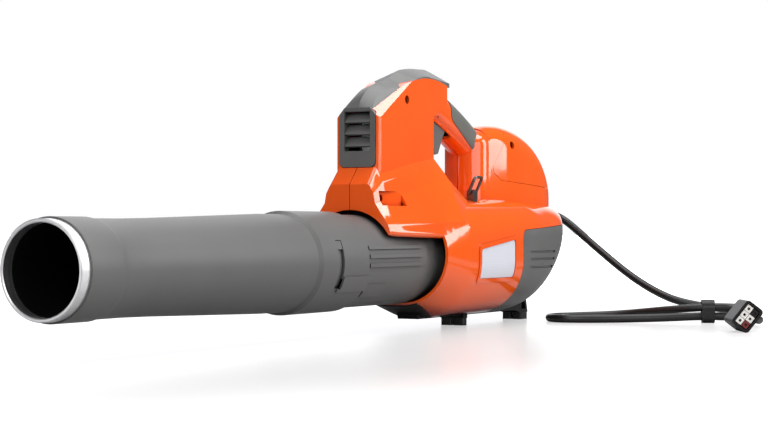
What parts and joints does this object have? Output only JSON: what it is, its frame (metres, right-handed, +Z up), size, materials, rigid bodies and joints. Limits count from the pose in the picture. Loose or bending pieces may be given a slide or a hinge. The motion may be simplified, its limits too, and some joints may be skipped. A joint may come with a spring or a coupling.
{
  "type": "leaf blower",
  "caption": "Hand-held axial leaf blower: long round air tube, hollow two-half body with post, bridge grip and dome, trigger, twist-off tube, stand and power lead.",
  "frame": {"origin": "on the floor under the middle of the machine, without its lead", "axes": "+X from the nozzle to the air intake along the tube, -Y the side seen in the picture (operator's left), +Z up"},
  "size_m": [0.9765, 0.4092, 0.2752],
  "materials": {
    "orange_gloss": "glossy",
    "grey_tube": "fine grain",
    "grey_cover": "fine grain",
    "black_plastic": "satin",
    "black_rubber": "matte",
    "grip_rubber": "matte",
    "aluminium": "brushed",
    "steel": "drawn wire",
    "plate_foil": "satin foil",
    "copper_core": "laminated",
    "board_green": "solder mask",
    "insert_plastic": "satin"
  },
  "bodies": {
    "body": {"base_stand": "black_plastic", "connector_insert": "insert_plastic", "connector_shell": "black_plastic", "control_board": "board_green", "cord_gland": "black_rubber", "cord_strap": "black_rubber", "dome_cover": "orange_gloss", "dome_screw": "steel", "duct_gasket": "black_rubber", "fan_duct": "black_plastic", "front_bearing": "steel", "front_left_foot": "black_rubber", "front_right_foot": "black_rubber", "grip_pad": "grip_rubber", "heat_sink": "aluminium", "inlet_bell": "black_plastic", "intake_cover": "grey_cover", "keypad_panel": "black_plastic", "label_plate": "plate_foil", "left_housing": "orange_gloss", "motor_cap": "aluminium", "motor_stator": "copper_core", "outlet_tube": "grey_tube", "post_screw": "steel", "power_cord": "black_rubber", "rear_bearing": "steel", "rear_left_foot": "black_rubber", "rear_right_foot": "black_rubber", "right_housing": "orange_gloss", "ring_bracket": "steel", "saddle_screw": "steel", "tail_cone": "black_plastic", "top_cover": "grey_cover", "trigger_pin": "steel", "trigger_spring": "steel", "trigger_switch": "black_plastic"},
    "fan": {"impeller": "black_plastic", "impeller_nut": "steel", "motor_rotor": "steel", "motor_shaft": "steel"},
    "front_tube": {"blow_tube": "grey_tube", "nozzle_ring": "aluminium"},
    "trigger": {"trigger": "grey_cover"},
    "power_button": {"power_button": "grip_rubber"},
    "boost_button": {"boost_button": "grip_rubber"},
    "carry_ring": {"carry_ring": "steel"}
  },
  "joints": [
    {"name": "fan_spin", "type": "hinge", "parent": "body", "child": "fan", "pos_m": [0.311, 0, 0.074], "axis": [-1, 0, 0], "continuous": true},
    {"name": "tube_twist", "type": "hinge", "parent": "body", "child": "front_tube", "pos_m": [-0.069, 0, 0.074], "axis": [-1, 0, 0], "range_deg": [0, 44]},
    {"name": "trigger_pull", "type": "hinge", "parent": "body", "child": "trigger", "pos_m": [0.193, 0, 0.226], "axis": [0, -1, 0], "range_deg": [0, 15], "stiffness_Nm_per_rad": 0.6, "springref_deg": -8.59},
    {"name": "power_press", "type": "slide", "parent": "body", "child": "power_button", "axis": [-1, 0, 0], "range_m": [0, 0.001], "stiffness_N_per_m": 1500, "springref_m": -0.0008},
    {"name": "boost_press", "type": "slide", "parent": "body", "child": "boost_button", "axis": [-1, 0, 0], "range_m": [0, 0.001], "stiffness_N_per_m": 1500, "springref_m": -0.0008},
    {"name": "ring_swing", "type": "hinge", "parent": "body", "child": "carry_ring", "pos_m": [0.229, -0.037, 0.144], "axis": [1, 0, 0], "range_deg": [-100, 85]}
  ]
}
